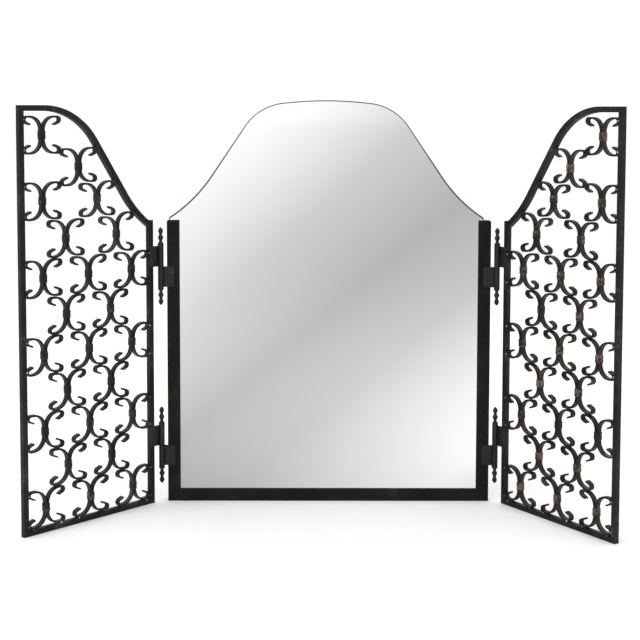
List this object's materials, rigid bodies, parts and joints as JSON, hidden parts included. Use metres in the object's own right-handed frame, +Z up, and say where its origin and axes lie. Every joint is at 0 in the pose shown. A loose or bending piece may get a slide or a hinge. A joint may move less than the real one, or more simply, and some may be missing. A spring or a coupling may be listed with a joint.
{
  "type": "table mirror with three hinged leaves",
  "caption": "Arched table mirror in a steel channel frame, with two hinged openwork scroll-grille wings that close over the glass like gates and hold it up when opened forward",
  "frame": {"origin": "middle of the underside of the bottom rail, on the surface the mirror stands on", "axes": "+X runs along the mirror to the right as seen from its front, +Y runs to the back, +Z is up; the wings are stored open towards -Y, the left one 47.5 degrees and the right one 57 degrees forward of the plane of the mirror"},
  "size_m": [0.9708, 0.263, 0.714],
  "materials": {
    "channel": "near-black rolled steel channel, waxed, slightly worn",
    "wing_bar": "charcoal square bar, waxed",
    "scroll_strip": "brown-black forged strip",
    "collar_band": "brown-black band with golden-brown wear",
    "hinge": "dark steel, slightly polished by use",
    "mirror_glass": "silvered plate glass with a plain cut edge",
    "backing_board": "brown hardboard"
  },
  "bodies": {
    "mirror_frame": {"left_upright": "channel", "right_upright": "channel", "bottom_rail": "channel", "mirror_glass": "mirror_glass", "backing_board": "backing_board", "left_frame_leaves": "hinge", "left_hinge_pins": "hinge", "left_pin_caps": "hinge", "right_frame_leaves": "hinge", "right_hinge_pins": "hinge", "right_pin_caps": "hinge"},
    "left_wing": {"left_outer_bar": "wing_bar", "left_inner_bar": "wing_bar", "left_bottom_bar": "wing_bar", "left_top_bar": "wing_bar", "left_wing_leaves": "hinge", "left_scrolls_1": "scroll_strip", "left_scrolls_2": "scroll_strip", "left_scrolls_3": "scroll_strip", "left_scrolls_4": "scroll_strip", "left_scrolls_5": "scroll_strip", "left_collars_1": "collar_band", "left_collars_2": "collar_band", "left_collars_3": "collar_band", "left_collars_4": "collar_band", "left_collars_5": "collar_band"},
    "right_wing": {"right_outer_bar": "wing_bar", "right_inner_bar": "wing_bar", "right_bottom_bar": "wing_bar", "right_top_bar": "wing_bar", "right_wing_leaves": "hinge", "right_scrolls_1": "scroll_strip", "right_scrolls_2": "scroll_strip", "right_scrolls_3": "scroll_strip", "right_scrolls_4": "scroll_strip", "right_scrolls_5": "scroll_strip", "right_collars_1": "collar_band", "right_collars_2": "collar_band", "right_collars_3": "collar_band", "right_collars_4": "collar_band", "right_collars_5": "collar_band"}
  },
  "joints": [
    {"name": "left_wing_hinge", "type": "hinge", "parent": "mirror_frame", "child": "left_wing", "pos_m": [-0.2965, -0.0097, 0], "axis": [0, 0, 1], "range_deg": [-132.5, 132.5]},
    {"name": "right_wing_hinge", "type": "hinge", "parent": "mirror_frame", "child": "right_wing", "pos_m": [0.2965, -0.0097, 0], "axis": [0, 0, 1], "range_deg": [-123, 142]}
  ]
}
